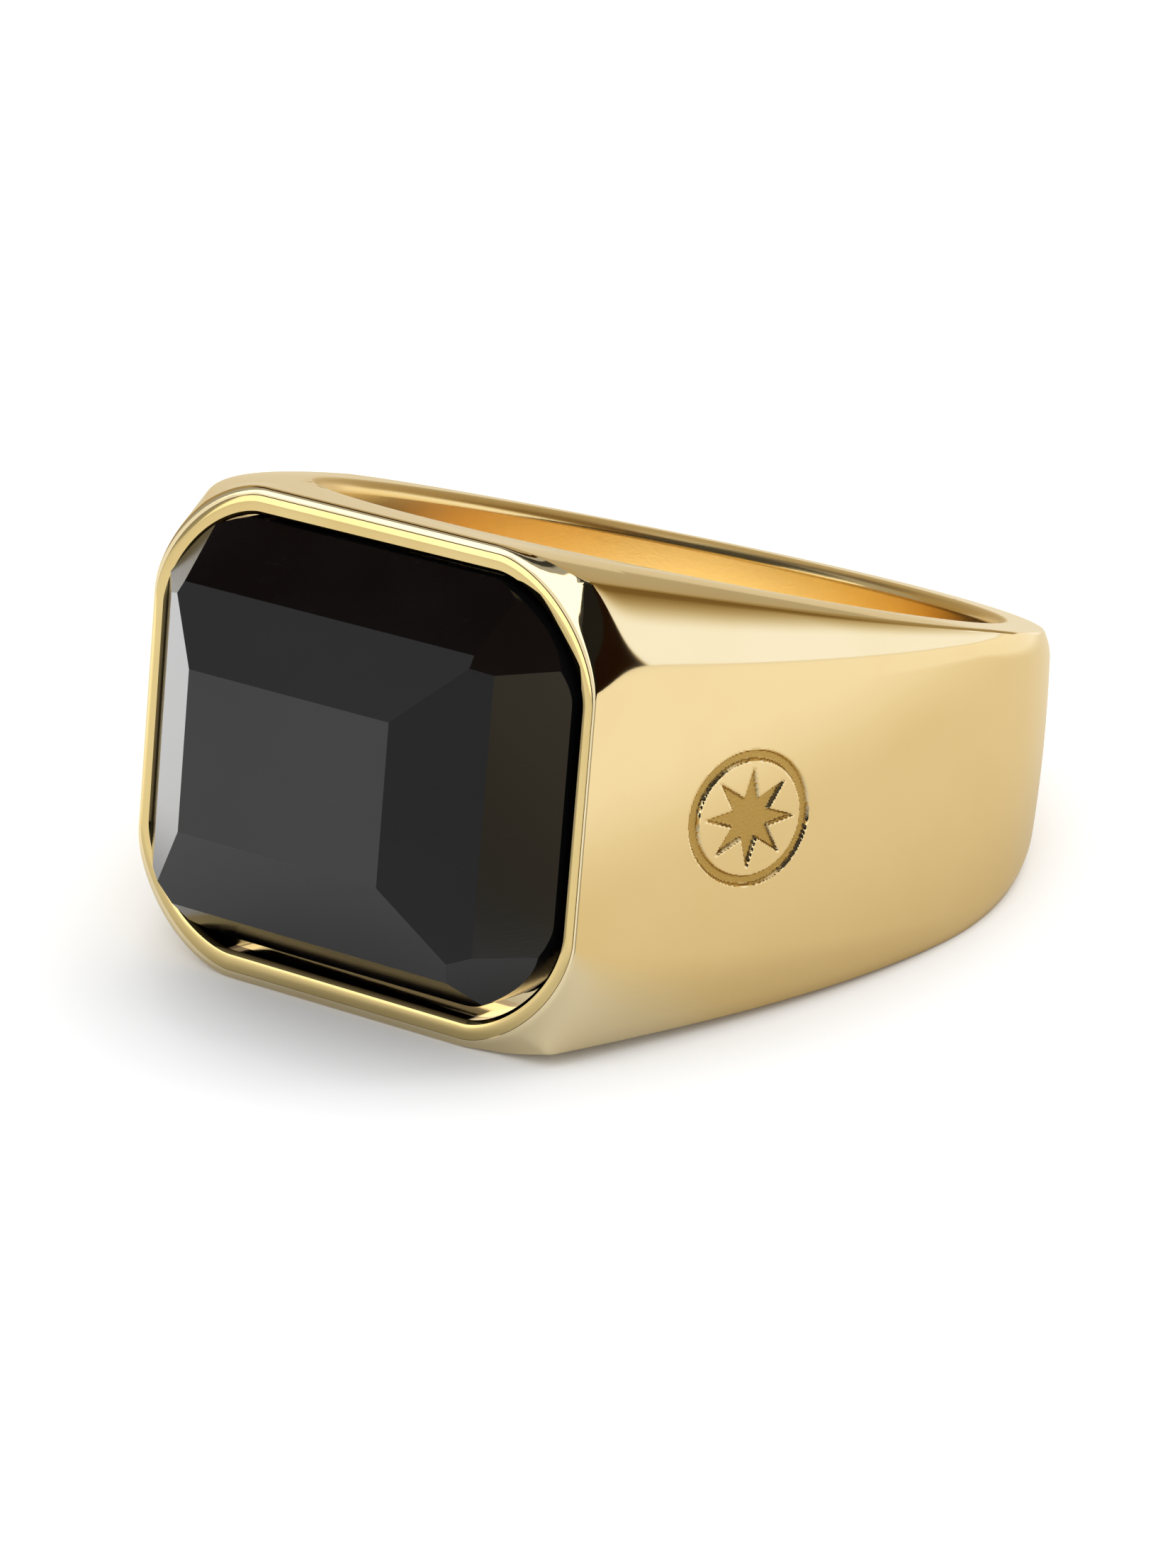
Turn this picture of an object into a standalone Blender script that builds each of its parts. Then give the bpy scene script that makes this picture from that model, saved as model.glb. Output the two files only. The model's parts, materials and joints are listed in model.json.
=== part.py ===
"""A gold signet ring with a black step-cut stone, lying on one side face of its band.

The ring is designed in its own frame, in millimetres: x runs across the head, y from the
stone (-y) to the back of the band, and z along the finger. Both side faces of the band lean
in towards the back, so an empty turns the ring until its lower side face lies flat on z = 0.
"""

import math

import bmesh
import bpy
from mathutils import Matrix, Vector

MM = 0.001

# Finger hole and band
FINGER_RADIUS = 9.5
HOLE_ROUNDING = 0.4  # of both rims of the hole
SIDE_RADIUS = 11.5  # of the wall, level with the finger axis
BACK_RADIUS = 11.3
QUARTER_DIP = 0.38  # how much nearer the wall comes to the axis half-way round to the back
HALF_WIDTH = 4.25  # of the band, level with the finger axis
TAPER = math.radians(11.5)  # lean of each side face
WALL_CROWN = 0.12  # how much fuller the wall is half-way up than at its edges
CROWN_RUN_IN = 4.0  # distance behind the head over which the crown appears
BEND_HEIGHT = 3.6  # above this the shoulders' wall bends inwards, up to its crease with a side face
BEND_SLOPE = 0.52  # slope that the bend reaches at the crease
LEAST_BEND = 0.75  # height of the bend at the back
CREASE = 0.07  # fillet along the crease
ROOF_DROP = 0.42  # how far the crease lies under the plane of the side face, at the head
ROOF_REACH = 3.2  # width of the part of a side face that slopes down to the crease

# Head, measured from the finger axis
HEAD_FRONT = 12.86
HEAD_HALF_LENGTH = 7.5  # across the finger
HEAD_CORNER_RADIUS = 3.5
HEAD_CREASE = math.radians(54)  # where on the corner the crease starts
CORNER_POWER = 1.69  # outline of the corners of head, rim and stone: 2 is an arc, 1 a straight cut
# Distance behind the head over which its round corners give way to the bend and to the crease,
# on the shoulder with the emblem and on the other one
CORNER_FADE = {1: (0.5, 0.06), -1: (3.0, 2.5)}
HEAD_EDGE = 0.1  # rounding of the head's front edge
SHOULDER_SLOPE = 0.54  # growth of the half-length for each millimetre behind the head

# Bezel rim, a frame let into the head; outlines are half-lengths, half-widths and corner radii
RIM_OUTER = (7.42, 6.60, 3.42)
RIM_INNER = (7.02, 6.06, 3.0)
RIM_FRONT = 12.9
RIM_BACK = 12.35
RIM_OUTER_BEVEL = 0.03
RIM_INNER_BEVEL = 0.11
FIT_GAP = 0.02
STONE_POCKET = (7.02, 6.06, 3.0)  # under the rim, where the back of the stone lies
POCKET_FLOOR = 11.62

# Stone: the edges between its facets, each as half-size and distance from the axis, down from
# the table to the girdle: at both ends, along the upper side and along the lower side
END_EDGES = ((3.38, 16.2), (5.46, 14.6), (6.72, 13.16))
UPPER_EDGES = ((2.43, 16.2), (4.33, 14.77), (5.89, 13.16))
LOWER_EDGES = ((2.03, 16.2), (4.59, 14.6), (5.49, 13.16))
CORNER_CUT = (1.6, 1.82)  # what each corner facet takes off the girdle edge
CORNER_TOP = 15.0  # distance at which the corner facets end
GIRDLE = (6.86, 5.83, 2.85)
GIRDLE_RISE = 0.17  # the stone sits this much off the middle of its rim
STONE_BACK = 11.85
BACK_CHAMFER = 0.5

# Cement bed between the stone and the pocket floor
CEMENT_OUTER = (6.1, 5.1, 2.0)
CEMENT_FRONT = 11.82
CEMENT_BACK = 11.65

# Engraved emblem on one shoulder
EMBLEM_Y = -8.42
EMBLEM_Z = 0.0
EMBLEM_RADIUS = 1.84
EMBLEM_STROKE = 0.25
STAR_POINTS = 8
STAR_TIP = 1.34
STAR_WAIST = 0.57
ENGRAVING_DEPTH = 0.11

SHOULDER_STEPS = 24
BACK_STEPS = 24
BEND_ROWS = 8
ROOF_ROWS = 4
WALL_STEPS = 6
HOLE_STEPS = 72
ROUNDING_STEPS = 5
CORNER_STEPS = 10

GOLD = ("gold", (0.78, 0.56, 0.22), 0.14, 1.0)
ONYX = ("onyx", (0.012, 0.012, 0.014), 0.08, 0.0)
CEMENT = ("cement", (0.55, 0.5, 0.4), 0.6, 0.0)


def clear_scene():
    for obj in list(bpy.data.objects):
        bpy.data.objects.remove(obj)


def material(name, colour, roughness, metallic):
    made = bpy.data.materials.get(name) or bpy.data.materials.new(name)
    made.use_nodes = True
    shader = made.node_tree.nodes["Principled BSDF"]
    shader.inputs["Base Color"].default_value = (*colour, 1)
    shader.inputs["Roughness"].default_value = roughness
    shader.inputs["Metallic"].default_value = metallic
    return made


def add_object(name, mesh_builder, look, parent):
    """An object made from a bmesh in millimetres, hung on the ring's empty."""
    bmesh.ops.recalc_face_normals(mesh_builder, faces=mesh_builder.faces)
    bmesh.ops.scale(mesh_builder, vec=(MM, MM, MM), verts=mesh_builder.verts)
    mesh = bpy.data.meshes.new(name)
    mesh_builder.to_mesh(mesh)
    mesh_builder.free()
    mesh.shade_smooth()
    mesh.set_sharp_from_angle(angle=math.radians(30))
    obj = bpy.data.objects.new(name, mesh)
    if look:
        mesh.materials.append(material(*look))
    bpy.context.collection.objects.link(obj)
    obj.parent = parent
    return obj


def cut(target, name, cutter_builder, parent):
    """Takes the cutter's shape out of the target and keeps the cutter as a hidden helper."""
    cutter = add_object(name, cutter_builder, None, parent)
    cutter.hide_render = True
    cutter.display_type = "WIRE"
    modifier = target.modifiers.new(name, "BOOLEAN")
    modifier.operation = "DIFFERENCE"
    modifier.solver = "EXACT"
    modifier.object = cutter


def half_width(y):
    """Distance of the side faces from the middle of the band."""
    return HALF_WIDTH - math.tan(TAPER) * y


def flattened(angle):
    """Distance of a head corner's outline from the corner's centre, as a share of its radius."""
    powers = abs(math.cos(angle)) ** CORNER_POWER + abs(math.sin(angle)) ** CORNER_POWER
    return powers ** (-1 / CORNER_POWER)


def shoulder_half_length(y):
    """Half-length of the band at y between the head and the finger axis, as a cubic."""
    t = (y + HEAD_FRONT) / HEAD_FRONT
    at_head = (2 * t**3 - 3 * t**2 + 1) * HEAD_HALF_LENGTH
    slope = (t**3 - 2 * t**2 + t) * HEAD_FRONT * SHOULDER_SLOPE
    return at_head + slope + (3 * t**2 - 2 * t**3) * SIDE_RADIUS


def back_radius(angle):
    """Radius of the wall behind the finger axis, from 0 at its side to a right angle at its back."""
    sides = SIDE_RADIUS * math.cos(angle) ** 2 + BACK_RADIUS * math.sin(angle) ** 2
    return sides - QUARTER_DIP * math.sin(2 * angle) ** 2


def stations():
    """Points round half of the wall, from the head to the back, each with the direction
    towards the inside of the band."""
    found = []
    for i in range(SHOULDER_STEPS):
        behind = HEAD_EDGE + (HEAD_FRONT - HEAD_EDGE) * (i / SHOULDER_STEPS) ** 1.6
        y = behind - HEAD_FRONT
        found.append((Vector((shoulder_half_length(y), y)), Vector((-1, 0))))
    for i in range(BACK_STEPS + 1):
        angle = math.pi / 2 * i / BACK_STEPS
        out = Vector((math.cos(angle), math.sin(angle)))
        found.append((back_radius(angle) * out, -out))
    return found


def bend_and_roof(point, side):
    """(depth inside the wall, height) from the foot of the bend to the inner end of the roof,
    in two curves that meet at the crease."""
    behind = point.y + HEAD_FRONT
    width = half_width(point.y)
    drop = ROOF_DROP * max(1 - behind / HEAD_FRONT, 0.0)
    rise = max(width - drop - BEND_HEIGHT, LEAST_BEND)
    bend = rise * BEND_SLOPE / 2
    wall = point.length - FINGER_RADIUS - HOLE_ROUNDING
    reach = min(ROOF_REACH, max(wall - bend, 0.4))
    at_foot, at_crease = CORNER_FADE[side]
    curves = []
    for rows, on_bend in ((BEND_ROWS, True), (ROOF_ROWS, False)):
        curve = []
        for i in range(rows + 1):
            t = i / rows
            if on_bend:
                square = Vector((bend * t**2, width - drop - rise * (1 - t)))
                angle = HEAD_CREASE * t
                fade = at_foot + (at_crease - at_foot) * t
            else:
                square = Vector((bend + reach * t, width - drop * (1 - t) ** 2))
                angle = HEAD_CREASE + (math.pi / 2 - HEAD_CREASE) * t
                fade = at_crease
            share = flattened(angle)
            corner = Vector((1 - share * math.cos(angle), share * math.sin(angle) - 1))
            corner *= HEAD_CORNER_RADIUS
            corner.y += width
            curve.append(square.lerp(corner, math.exp(-behind / fade)))
        curves.append(curve)
    return curves


def with_fillet(bend, roof):
    """One curve from the inner end of the roof to the foot of the bend, its crease rounded."""
    crease = bend[-1]
    lip = crease + (bend[-2] - crease).normalized() * CREASE
    flat = crease + (roof[1] - crease).normalized() * CREASE
    middle = (lip + flat) / 4 + crease / 2
    return roof[:0:-1] + [flat, middle, lip] + bend[-2::-1]


def wall_column(point, inward, side):
    """Points down the wall at one station, from one side face to the other."""
    width = half_width(point.y)
    behind = point.y + HEAD_FRONT
    upper = with_fillet(*bend_and_roof(point, side))
    knee = upper[-1].y
    middle = [Vector((0, knee * (1 - 2 * i / WALL_STEPS))) for i in range(1, WALL_STEPS)]
    lower = [Vector((p.x, -p.y)) for p in reversed(upper)]
    crown = WALL_CROWN * (1 - math.exp(-behind / CROWN_RUN_IN))
    column = []
    for depth, height in upper + middle + lower:
        spot = point + inward * (depth + crown * (height / width) ** 2)
        column.append(Vector((*spot, height * half_width(spot.y) / width)))
    return column


def front_edge(made, rim):
    """The head's bevelled front edge and its flat front, from the first ring of the wall."""
    start = Vector((shoulder_half_length(-HEAD_FRONT), -HEAD_FRONT))
    ends = [wall_column(start, Vector((-1, 0)), side) for side in (1, -1)]
    outline = ends[0] + [Vector((-p.x, p.y, p.z)) for p in reversed(ends[1])]
    shrink = 1 - HEAD_EDGE / HEAD_HALF_LENGTH
    front = [made.verts.new((p.x * shrink, p.y, p.z * shrink)) for p in outline]
    join_rings(made, [rim, front])
    made.faces.new(front)


def outer_solid():
    """The ring's outside as one solid, before the finger hole and the pocket are cut."""
    made = bmesh.new()
    right = [wall_column(*station, 1) for station in stations()]
    left = [wall_column(*station, -1) for station in stations()[:-1]]
    left = [[Vector((-p.x, p.y, p.z)) for p in column] for column in reversed(left)]
    columns = [[made.verts.new(p) for p in column] for column in right + left]
    for near, far in zip(columns, columns[1:]):
        for i in range(len(near) - 1):
            made.faces.new((near[i], near[i + 1], far[i + 1], far[i]))
    made.faces.new([column[0] for column in columns])
    made.faces.new([column[-1] for column in reversed(columns)])
    front_edge(made, columns[0] + columns[-1][::-1])
    return made


def join_rings(made, rings):
    for first, second in zip(rings, rings[1:]):
        for i in range(len(first)):
            j = (i + 1) % len(first)
            made.faces.new((first[i], first[j], second[j], second[i]))


def hole_cutter():
    """A cylinder that opens out as it meets the side faces, for the rounded rims."""
    above = 0.3
    profile = [(FINGER_RADIUS + HOLE_ROUNDING, above)]
    for i in range(ROUNDING_STEPS + 1):
        angle = math.pi / 2 * i / ROUNDING_STEPS
        radius = FINGER_RADIUS + HOLE_ROUNDING * (1 - math.sin(angle))
        profile.append((radius, -HOLE_ROUNDING * (1 - math.cos(angle))))
    made = bmesh.new()
    rings = []
    for side, levels in ((1, profile), (-1, profile[::-1])):
        for radius, level in levels:
            ring = []
            for i in range(HOLE_STEPS):
                angle = math.tau * i / HOLE_STEPS
                x, y = radius * math.cos(angle), radius * math.sin(angle)
                ring.append(made.verts.new((x, y, side * (half_width(y) + level))))
            rings.append(ring)
    join_rings(made, rings)
    made.faces.new(rings[0])
    made.faces.new(rings[-1])
    return made


def rounded_rectangle(half_length, half_width, radius):
    """(x, z) points of a rectangle with round corners."""
    points = []
    for quarter in range(4):
        sign_x = 1 if quarter in (0, 3) else -1
        sign_z = 1 if quarter in (0, 1) else -1
        for i in range(CORNER_STEPS + 1):
            angle = math.pi / 2 * (quarter + i / CORNER_STEPS)
            reach = radius * flattened(math.pi / 2 * i / CORNER_STEPS)
            x = sign_x * (half_length - radius) + reach * math.cos(angle)
            z = sign_z * (half_width - radius) + reach * math.sin(angle)
            points.append((x, z))
    return points


def add_loops(made, loops):
    """Rings of vertices from (outline, distance) pairs, joined one after the other."""
    rings = []
    for outline, distance in loops:
        rings.append([made.verts.new((x, -distance, z)) for x, z in rounded_rectangle(*outline)])
    join_rings(made, rings)
    return rings


def block(outline, front, back):
    made = bmesh.new()
    rings = add_loops(made, [(outline, front), (outline, back)])
    made.faces.new(rings[0])
    made.faces.new(rings[-1])
    return made


def frame(section):
    """A closed frame whose section is a list of (outline, distance) pairs."""
    made = bmesh.new()
    add_loops(made, section + section[:1])
    bmesh.ops.remove_doubles(made, verts=made.verts, dist=1e-6)
    return made


def shrunk(outline, amount):
    return tuple(size - amount for size in outline)


def bezel_section():
    return [
        (shrunk(RIM_OUTER, RIM_OUTER_BEVEL), RIM_FRONT),
        (RIM_OUTER, RIM_FRONT - RIM_OUTER_BEVEL),
        (RIM_OUTER, RIM_BACK),
        (RIM_INNER, RIM_BACK),
        (RIM_INNER, RIM_FRONT - RIM_INNER_BEVEL),
        (shrunk(RIM_INNER, -RIM_INNER_BEVEL), RIM_FRONT),
    ]


def facet(made, point, normal):
    """Cuts the solid with a plane and closes it, and keeps the side away from the normal."""
    shape = made.verts[:] + made.edges[:] + made.faces[:]
    result = bmesh.ops.bisect_plane(
        made, geom=shape, dist=1e-7, plane_co=point, plane_no=normal, clear_outer=True
    )
    rim = [e for e in result["geom_cut"] if isinstance(e, bmesh.types.BMEdge)]
    bmesh.ops.contextual_create(made, geom=rim)


def sloping_facets(made, edges, out):
    """The facets between the edges of one side, which faces out."""
    for (upper, top), (lower, bottom) in zip(edges, edges[1:]):
        on_edge = Vector(out) * lower - Vector((0, bottom, 0))
        facet(made, on_edge, Vector(out) * (top - bottom) - Vector((0, lower - upper, 0)))


def size_at(edges, distance):
    """Half-size of the first step at a distance from the axis."""
    (upper, top), (lower, bottom) = edges[:2]
    return upper + (lower - upper) * (top - distance) / (top - bottom)


def corner_facets(made):
    """Four facets across the corners of the second step, up to the hips of the first."""
    end, distance = END_EDGES[2]
    for side_z, edges in ((1, UPPER_EDGES), (-1, LOWER_EDGES)):
        side = edges[2][0]
        top = Vector((size_at(END_EDGES, CORNER_TOP), -CORNER_TOP, side_z * size_at(edges, CORNER_TOP)))
        start = Vector((end, -distance, side_z * (side - CORNER_CUT[1])))
        finish = Vector((end - CORNER_CUT[0], -distance, side_z * side))
        normal = (finish - start).cross(top - start)
        if normal.x < 0:
            normal.negate()
        for side_x in (1, -1):
            flip = Matrix.Diagonal((side_x, 1, 1))
            facet(made, flip @ start, flip @ normal)


def stone_solid():
    made = block(GIRDLE, END_EDGES[0][1], STONE_BACK)
    bmesh.ops.translate(made, vec=(0, 0, GIRDLE_RISE), verts=made.verts)
    for out in ((1, 0, 0), (-1, 0, 0)):
        sloping_facets(made, END_EDGES, out)
    sloping_facets(made, UPPER_EDGES, (0, 0, 1))
    sloping_facets(made, LOWER_EDGES, (0, 0, -1))
    corner_facets(made)
    for side in (1, -1):
        facet(made, (side * (GIRDLE[0] - BACK_CHAMFER), -STONE_BACK, 0), (side, 1, 0))
        edge = side * (GIRDLE[1] - BACK_CHAMFER) + GIRDLE_RISE
        facet(made, (0, -STONE_BACK, edge), (0, 1, side))
    return made


def shoulder_normal(y):
    step = 0.01
    rise = shoulder_half_length(y + step) - shoulder_half_length(y - step)
    return Vector((2 * step, -rise, 0)).normalized()


def prism(made, outline, low, high, inner=None):
    """A prism along z between two levels, with a hole if there is an inner outline."""
    loops = [(outline, high), (outline, low)]
    if inner:
        loops += [(inner, low), (inner, high), (outline, high)]
    rings = [[made.verts.new((x, y, z)) for x, y in shape] for shape, z in loops]
    join_rings(made, rings)
    if not inner:
        made.faces.new(rings[0])
        made.faces.new(rings[1])


def star_outline():
    points = []
    for i in range(2 * STAR_POINTS):
        radius = STAR_WAIST if i % 2 else STAR_TIP
        angle = math.pi * i / STAR_POINTS
        points.append((radius * math.sin(angle), radius * math.cos(angle)))
    return points


def circle_outline(radius, steps=32):
    turn = math.tau / steps
    return [(radius * math.cos(turn * i), radius * math.sin(turn * i)) for i in range(steps)]


def emblem_cutter():
    """A star in a ring, square to the shoulder where it is engraved."""
    made = bmesh.new()
    above = 0.5
    prism(made, star_outline(), -ENGRAVING_DEPTH, above)
    groove = circle_outline(EMBLEM_RADIUS - EMBLEM_STROKE)
    prism(made, circle_outline(EMBLEM_RADIUS), -ENGRAVING_DEPTH, above, groove)
    bmesh.ops.remove_doubles(made, verts=made.verts, dist=1e-6)
    out = shoulder_normal(EMBLEM_Y)
    along = Vector((0, 0, 1)).cross(out)
    turn = Matrix((along, (0, 0, 1), out)).transposed().to_4x4()
    place = Matrix.Translation((shoulder_half_length(EMBLEM_Y), EMBLEM_Y, EMBLEM_Z))
    bmesh.ops.transform(made, matrix=place @ turn, verts=made.verts)
    return made


def add_ring_body(parent):
    body = add_object("ring_body", outer_solid(), GOLD, parent)
    cut(body, "finger_hole_cutter", hole_cutter(), parent)
    rebate = block(shrunk(RIM_OUTER, -FIT_GAP), HEAD_FRONT + 1, RIM_BACK - FIT_GAP)
    cut(body, "rim_rebate_cutter", rebate, parent)
    cut(body, "pocket_cutter", block(STONE_POCKET, HEAD_FRONT, POCKET_FLOOR), parent)
    cut(body, "emblem_cutter", emblem_cutter(), parent)
    return body


def centre_over_origin(root, pieces):
    """Moves the ring in y until its bounding box is centred on the origin."""
    bpy.context.view_layer.update()
    spots = []
    for piece in pieces:
        spots += [(piece.matrix_world @ vertex.co).y for vertex in piece.data.vertices]
    root.location.y -= (min(spots) + max(spots)) / 2


def main():
    clear_scene()
    root = bpy.data.objects.new("signet_ring", None)
    bpy.context.collection.objects.link(root)
    root.rotation_euler.x = -TAPER
    root.location.z = HALF_WIDTH * math.cos(TAPER) * MM
    pieces = [
        add_ring_body(root),
        add_object("bezel_rim", frame(bezel_section()), GOLD, root),
        add_object("stone", stone_solid(), ONYX, root),
        add_object("setting_cement", block(CEMENT_OUTER, CEMENT_FRONT, CEMENT_BACK), CEMENT, root),
    ]
    centre_over_origin(root, pieces)


main()
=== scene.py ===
"""The looks of the signet ring: polished gold, a black step-cut stone and a studio with a pale floor.

Like the CAD, the ring is built in its own frame in millimetres: x runs across the head, y from the
stone (-y) to the back of the band, and z along the finger. row_place() turns it to the way it lies.
"""

import json
import math

import bmesh
import bpy
import numpy as np
from mathutils import Matrix, Vector

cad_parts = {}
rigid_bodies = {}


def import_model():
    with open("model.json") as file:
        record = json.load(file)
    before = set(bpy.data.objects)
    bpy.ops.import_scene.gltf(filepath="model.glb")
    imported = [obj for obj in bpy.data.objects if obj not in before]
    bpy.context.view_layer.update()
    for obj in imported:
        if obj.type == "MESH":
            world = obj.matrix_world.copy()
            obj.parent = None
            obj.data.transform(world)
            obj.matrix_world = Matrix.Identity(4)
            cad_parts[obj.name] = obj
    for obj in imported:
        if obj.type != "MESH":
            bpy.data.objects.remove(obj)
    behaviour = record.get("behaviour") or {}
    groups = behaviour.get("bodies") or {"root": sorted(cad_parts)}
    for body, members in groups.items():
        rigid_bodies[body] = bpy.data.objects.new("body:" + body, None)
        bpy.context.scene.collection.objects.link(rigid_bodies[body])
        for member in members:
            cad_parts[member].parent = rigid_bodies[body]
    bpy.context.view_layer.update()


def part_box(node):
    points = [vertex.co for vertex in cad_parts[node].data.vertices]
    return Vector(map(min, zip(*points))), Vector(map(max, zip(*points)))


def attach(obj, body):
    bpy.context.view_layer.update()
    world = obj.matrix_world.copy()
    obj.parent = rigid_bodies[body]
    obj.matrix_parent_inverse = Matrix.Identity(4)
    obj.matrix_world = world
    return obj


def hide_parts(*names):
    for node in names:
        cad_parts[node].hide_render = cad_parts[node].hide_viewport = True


MM = 0.001

# Finger hole and band
FINGER_RADIUS = 9.5
HOLE_ROUNDING = 0.4  # of both rims of the hole
SIDE_RADIUS = 11.5  # of the wall, level with the finger axis
BACK_RADIUS = 11.3
QUARTER_DIP = 0.38  # how much nearer the wall comes to the axis half-way round to the back
HALF_WIDTH = 4.25  # of the band, level with the finger axis
TAPER = math.radians(11.5)  # lean of each side face
WALL_CROWN = 0.12  # how much fuller the wall is half-way up than at its edges
CROWN_RUN_IN = 4.0  # distance behind the head over which the crown appears
BEND_HEIGHT = 3.6  # above this the shoulders' wall bends inwards, up to its crease with a side face
BEND_SLOPE = 0.52  # slope that the bend reaches at the crease
LEAST_BEND = 0.75  # height of the bend at the back
CREASE = 0.07  # fillet along the crease
ROOF_DROP = 0.42  # how far the crease lies under the plane of the side face, at the head
ROOF_REACH = 3.2  # width of the part of a side face that slopes down to the crease
LEAST_REACH = 0.4  # of that part where the wall is thin

# Head, measured from the finger axis
HEAD_FRONT = 12.86
HEAD_HALF_LENGTH = 7.5  # across the finger
HEAD_CORNER_RADIUS = 3.5
HEAD_CREASE = math.radians(54)  # where on the corner the crease starts
CORNER_POWER = 1.69  # outline of the corners of head, rim and stone: 2 is an arc, 1 a straight cut
# Distance behind the head over which its corners give way to the bend and to the crease, on the
# shoulder with the emblem and on the other one
CORNER_FADE = {1: (0.5, 0.06), -1: (3.0, 2.5)}
HEAD_EDGE = (0.03, 0.19)  # rounding of the head's front edge at its ends and along its sides
SHOULDER_SLOPE = 0.54  # growth of the half-length for each millimetre behind the head

# Bezel rim; outlines are half-lengths, half-widths and corner radii
RIM_OUTER = (7.42, 6.60, 3.42)
RIM_INNER = (7.02, 6.06, 3.0)
RIM_FRONT = 12.88
RIM_BACK = 12.35
RIM_ROUNDING = 0.015
RIM_INNER_BEVEL = 0.11
RIM_PILLOW = 0.012  # how far the middle of the rim's front stands above its edges
RIM_WAVE = 0.012  # unevenness that the burnisher left on the rim's inner edge
RIM_WAVES = ((1.0, 7, 0.6), (0.7, 13, 2.1))  # its share, waves in one turn and start angle
FIT_GAP = 0.01
STONE_POCKET = RIM_INNER  # under the rim, where the back of the stone lies
POCKET_FLOOR = 11.62

# Stone: the edges between its facets, each as half-size and distance from the axis, down from
# the table to the girdle: at both ends, along the upper side and along the lower side
END_EDGES = ((3.38, 16.2), (5.46, 14.6), (6.72, 13.16))
UPPER_EDGES = ((2.43, 16.2), (4.33, 14.77), (5.89, 13.16))
LOWER_EDGES = ((2.03, 16.2), (4.59, 14.6), (5.49, 13.16))
CORNER_CUT = (1.6, 1.82)  # what each corner facet takes off the girdle edge
CORNER_TOP = 15.0  # distance at which the corner facets end
GIRDLE = (6.86, 5.83, 2.85)
GIRDLE_RISE = 0.17  # the stone sits this much off the middle of its rim
STONE_BACK = 11.85
BACK_CHAMFER = 0.5

# Cement bed
CEMENT_OUTER = (6.1, 5.1, 2.0)
CEMENT_FRONT = 11.82
CEMENT_BACK = 11.65

# Engraved emblem: a star in a ring, on one shoulder
EMBLEM_Y = -8.42
EMBLEM_Z = 0.0
EMBLEM_RADIUS = 1.84
EMBLEM_STROKE = 0.25
STAR_POINTS = 8
STAR_TIP = 1.34
STAR_WAIST = 0.57
ENGRAVING_DEPTH = 0.11
ENGRAVING_SLOPE = 0.06  # width of the engraving's sloping sides
EMBLEM_FIELD = 2.3  # half-size of the finely meshed patch round the emblem

# Mesh density
SHOULDER_STEPS = 70
FINE_STEP = 0.035
BACK_STEPS = 110
BEND_ROWS = 26
CREASE_ROWS = 5
ROOF_ROWS = 10
WALL_STEPS = 12
HEAD_ROWS = 5
HEAD_EDGE_ROWS = 8
HOLE_STEPS = 256
ROUNDING_STEPS = 9
CORNER_STEPS = 40
RIM_ROUNDING_STEPS = 5
RIM_PILLOW_STEPS = 8
SIDE_INSET = 0.12  # width of the flat strip beside each rounded edge
CUTTER_MARGIN = 0.3  # how far the hole's cutter stands out of the side faces
PLANE_TOLERANCE = 1e-6  # distance at which a vertex counts as lying on a cutting plane
FACET_SHARP = 8  # angle in degrees above which an edge of the stone stays sharp
METAL_SHARP = 30

# Camera
CAMERA_AZIMUTH = math.radians(38.17)
CAMERA_ELEVATION = math.radians(23.68)
CAMERA_ROLL = math.radians(-2.51)
CAMERA_DISTANCE = 200.0
CAMERA_AIM = (-0.812, 0.650, 1.993)
CAMERA_LENS = 218.7
SENSOR_WIDTH = 36.0
CLIP_START = 0.001


# ---------------------------------------------------------------- shape of the band

def half_width(y):
    """Distance of the side faces from the middle of the band."""
    return HALF_WIDTH - math.tan(TAPER) * y


def flattened(angle):
    """Distance of a head corner's outline from the corner's centre, as a share of its radius."""
    powers = abs(math.cos(angle)) ** CORNER_POWER + abs(math.sin(angle)) ** CORNER_POWER
    return powers ** (-1 / CORNER_POWER)


def shoulder_half_length(y):
    """Half-length of the band at y between the head and the finger axis, as a cubic."""
    t = (y + HEAD_FRONT) / HEAD_FRONT
    at_head = (2 * t**3 - 3 * t**2 + 1) * HEAD_HALF_LENGTH
    slope = (t**3 - 2 * t**2 + t) * HEAD_FRONT * SHOULDER_SLOPE
    return at_head + slope + (3 * t**2 - 2 * t**3) * SIDE_RADIUS


def back_radius(angle):
    """Radius of the wall behind the finger axis, from 0 at its side to a right angle at its back."""
    sides = SIDE_RADIUS * math.cos(angle) ** 2 + BACK_RADIUS * math.sin(angle) ** 2
    return sides - QUARTER_DIP * math.sin(2 * angle) ** 2


def shoulder_places(fine):
    """y of each station on a shoulder: crowded together behind the head, and where the emblem
    is if fine is set."""
    shares = np.linspace(0, 1, SHOULDER_STEPS, endpoint=False)
    places = list(-HEAD_FRONT + HEAD_EDGE[1] + (HEAD_FRONT - HEAD_EDGE[1]) * shares**2)
    if fine:
        low, high = EMBLEM_Y - EMBLEM_FIELD, EMBLEM_Y + EMBLEM_FIELD
        count = round((high - low) / FINE_STEP)
        places = [y for y in places if not low < y < high]
        places += list(np.linspace(low, high, count + 1))
    return sorted(places)


def half_stations(fine):
    """Stations round half of the wall, from the head to the back: a point and the direction
    towards the inside of the band."""
    found = []
    for y in shoulder_places(fine):
        found.append(((shoulder_half_length(y), y), (-1.0, 0.0)))
    for angle in np.linspace(0, math.pi / 2, BACK_STEPS + 1):
        out_x, out_y = math.cos(angle), math.sin(angle)
        radius = back_radius(angle)
        found.append(((radius * out_x, radius * out_y), (-out_x, -out_y)))
    return found


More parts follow.
